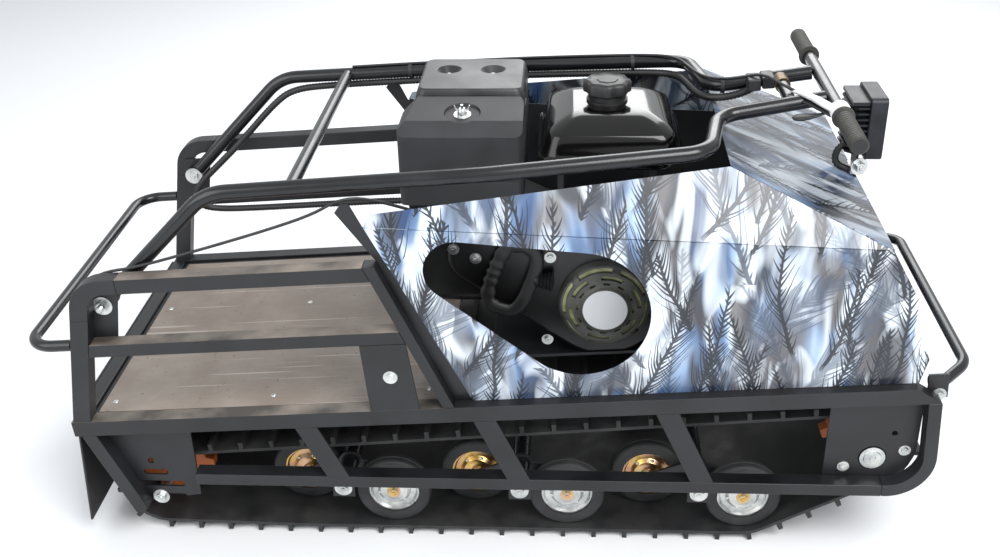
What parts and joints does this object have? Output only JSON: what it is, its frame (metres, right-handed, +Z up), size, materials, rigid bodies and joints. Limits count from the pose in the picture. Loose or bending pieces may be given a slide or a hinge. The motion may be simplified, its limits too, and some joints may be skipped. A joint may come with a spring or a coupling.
{
  "type": "tracked snow tug",
  "caption": "Tracked snow tug: welded side frames, one wide rubber track on rollers, load deck, engine under an open sheet hood and a steering handle that folds over it.",
  "frame": {"origin": "on the floor under the middle of the overall box", "axes": "+X forwards, the way the nose points, +Y to the tug's left, +Z up; the upper frame is pitched 3.6 degrees nose up as it parks"},
  "size_m": [1.6196, 0.64, 0.8016],
  "materials": {
    "bearing_iron": "as cast",
    "black_cover": "satin",
    "black_frame": "satin powder coat",
    "edge_strip": "mill finish",
    "engine_metal": "die cast",
    "gloss_tank": "gloss",
    "grip_rubber": "ribbed",
    "lamp_plastic": "moulded",
    "orange_urethane": "cast",
    "plywood": "film-faced",
    "roller_rubber": "moulded",
    "track_rubber": "moulded",
    "wrapped_sheet": "patterned film",
    "zinc_steel": "zinc plated"
  },
  "bodies": {
    "tug": {"air_cleaner": "black_cover", "balance_arms": "zinc_steel", "blower_housing": "black_cover", "bumper_plates": "black_frame", "cross_members": "black_frame", "deck_board": "plywood", "deck_edging": "edge_strip", "drive_shaft": "zinc_steel", "drive_sprockets": "orange_urethane", "engine_case": "engine_metal", "engine_ducts": "engine_metal", "engine_plate": "black_frame", "front_bumper": "black_frame", "fuel_tank": "gloss_tank", "gusset_plates": "black_frame", "hood_front": "wrapped_sheet", "hood_sides": "wrapped_sheet", "hood_strips": "wrapped_sheet", "hood_struts": "black_frame", "hood_top": "wrapped_sheet", "idler_shaft": "zinc_steel", "idler_sprockets": "orange_urethane", "lamp_bracket": "black_frame", "lower_rails": "black_frame", "mid_rails": "black_frame", "muffler_guard": "black_cover", "nose_plates": "black_frame", "nose_rails": "black_frame", "pivot_bolts": "zinc_steel", "pivot_brackets": "black_frame", "pivot_lugs": "black_frame", "pivot_tubes": "black_frame", "rail_corners": "black_frame", "rail_posts": "black_frame", "rear_bumper": "black_frame", "rear_flap": "track_rubber", "recoil_cover": "black_cover", "roller_axles": "zinc_steel", "roller_discs": "zinc_steel", "roller_tyres": "roller_rubber", "shaft_bearings": "bearing_iron", "side_beams": "black_frame", "starter_handle": "black_cover", "tail_cross_bar": "black_frame", "tail_plates": "black_frame", "tail_rails": "black_frame", "tank_cap": "gloss_tank", "top_rails": "black_frame", "track": "track_rubber", "window_bars": "black_frame", "work_lamp": "lamp_plastic"},
    "handle": {"handle_tubes": "black_frame", "handle_cross_tubes": "black_frame", "grip_bar": "black_frame", "grips": "grip_rubber"}
  },
  "joints": [
    {"name": "handle_fold", "type": "hinge", "parent": "tug", "child": "handle", "pos_m": [-0.65926, 0, 0.50136], "axis": [0, -1, 0], "range_deg": [0, 140]}
  ]
}
